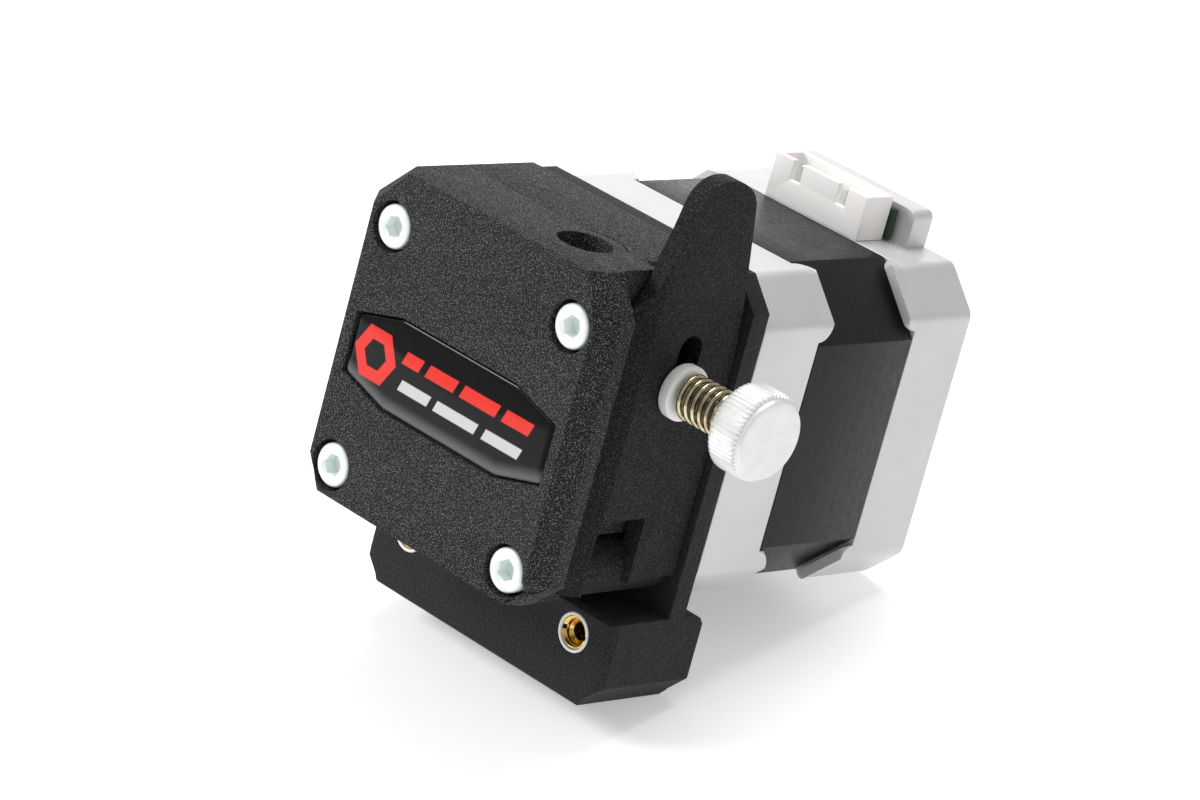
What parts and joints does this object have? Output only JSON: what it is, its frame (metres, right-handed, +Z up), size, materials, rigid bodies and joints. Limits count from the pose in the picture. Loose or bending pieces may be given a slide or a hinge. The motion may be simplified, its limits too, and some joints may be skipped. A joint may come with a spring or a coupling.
{
  "type": "extruder gear assembly",
  "caption": "Filament extruder gearbox on a square stepper motor: cover, housing, foot bracket, geared drive, sprung idler lever with thumb screw.",
  "frame": {"origin": "midpoint between the two threaded inserts, on the front face of the foot block", "axes": "+Z up along the filament path towards the inlet, +X towards the idler lever and thumb screw, +Y back along the motor shaft; -Y is the outward normal of the foot's front face and of the badge cover"},
  "size_m": [0.057, 0.0666, 0.0685],
  "materials": {
    "black_nylon": "grainy laser-sintered nylon, matte black",
    "badge_gloss": "clear-domed printed label, black with a plain ring and bars",
    "cast_aluminium": "die-cast aluminium, fine satin",
    "black_laminations": "black-coated steel laminations, fine edge lines",
    "zinc": "blue-zinc plated steel",
    "steel": "ground steel",
    "hardened_steel": "hardened steel, machined",
    "brass": "turned brass",
    "white_nylon": "white acetal",
    "connector_nylon": "natural white nylon",
    "tinned_pin": "tin-plated pin",
    "circuit_board": "green solder mask on glass-fibre board",
    "enamelled_copper": "enamelled copper winding",
    "spring_steel": "passivated spring wire, faint yellow-olive tint",
    "bright_knob": "bright knurled knob, near white"
  },
  "bodies": {
    "housing": {"badge": "badge_gloss", "captive_nut": "zinc", "connector_pin_1": "tinned_pin", "connector_pin_2": "tinned_pin", "connector_pin_3": "tinned_pin", "connector_pin_4": "tinned_pin", "connector_pin_5": "tinned_pin", "connector_pin_6": "tinned_pin", "connector_shroud": "connector_nylon", "cover_screw_bottom_left": "zinc", "cover_screw_top_left": "zinc", "cover_screw_top_right": "zinc", "drive_bearing_front": "steel", "drive_bearing_rear": "steel", "front_cover": "black_nylon", "insert_left": "brass", "insert_right": "brass", "lever_pivot_screw": "zinc", "motor_front_bearing": "steel", "motor_front_cap": "cast_aluminium", "motor_pcb": "circuit_board", "motor_rear_bearing": "steel", "motor_rear_cap": "cast_aluminium", "motor_screw_bottom_left": "zinc", "motor_screw_bottom_right": "zinc", "motor_screw_top_left": "zinc", "motor_screw_top_right": "zinc", "motor_stator": "black_laminations", "mount_bracket": "black_nylon", "rear_housing": "black_nylon", "tension_spring": "spring_steel", "winding_front": "enamelled_copper", "winding_rear": "enamelled_copper"},
    "rotor": {"motor_shaft": "steel", "motor_rotor": "hardened_steel", "motor_pinion": "hardened_steel"},
    "drive": {"drive_shaft": "steel", "large_gear": "white_nylon", "drive_gear": "hardened_steel", "drive_gear_set_screw": "zinc"},
    "lever": {"idler_lever": "black_nylon", "idler_axle": "steel"},
    "idler": {"idler_gear": "hardened_steel", "idler_bearing_front": "steel", "idler_bearing_rear": "steel"},
    "bushing": {"spring_bushing": "white_nylon"},
    "spring_seat": {"spring_seat_washer": "steel"},
    "thumb_screw": {"thumb_screw": "bright_knob"}
  },
  "joints": [
    {"name": "motor_spin", "type": "hinge", "parent": "housing", "child": "rotor", "pos_m": [0, 0.012, 0.0254], "axis": [0, 1, 0], "continuous": true},
    {"name": "drive_spin", "type": "hinge", "parent": "housing", "child": "drive", "pos_m": [0.0043, -0.0022, 0.03465], "axis": [0, 1, 0], "continuous": true},
    {"name": "lever_pivot", "type": "hinge", "parent": "housing", "child": "lever", "pos_m": [0.0155, 0.0008, 0.0099], "axis": [0, 1, 0], "range_deg": [0, 4.5], "stiffness_Nm_per_rad": 0.02, "springref_deg": -17.19},
    {"name": "idler_spin", "type": "hinge", "parent": "lever", "child": "idler", "pos_m": [0.0123, -0.0097, 0.03465], "axis": [0, 1, 0], "continuous": true},
    {"name": "bushing_slide", "type": "slide", "parent": "housing", "child": "bushing", "axis": [1, 0, 0], "range_m": [0, 0.0024], "deforming": ["tension_spring"]},
    {"name": "thumb_screw_travel", "type": "slide", "parent": "housing", "child": "spring_seat", "axis": [1, 0, 0], "range_m": [-0.0005, 0.002], "deforming": ["tension_spring"]},
    {"name": "thumb_screw_turn", "type": "hinge", "parent": "spring_seat", "child": "thumb_screw", "pos_m": [0.0305, 0.0001, 0.0341], "axis": [1, 0, 0], "range_deg": [-370, 1450]}
  ],
  "couplings": [
    {"joint": "drive_spin", "follows": "motor_spin", "ratio": -0.5},
    {"joint": "idler_spin", "follows": "motor_spin", "ratio": 0.5},
    {"joint": "bushing_slide", "follows": "lever_pivot", "m_per_rad": 0.0285},
    {"joint": "thumb_screw_turn", "follows": "thumb_screw_travel", "rad_per_m": 12566}
  ]
}
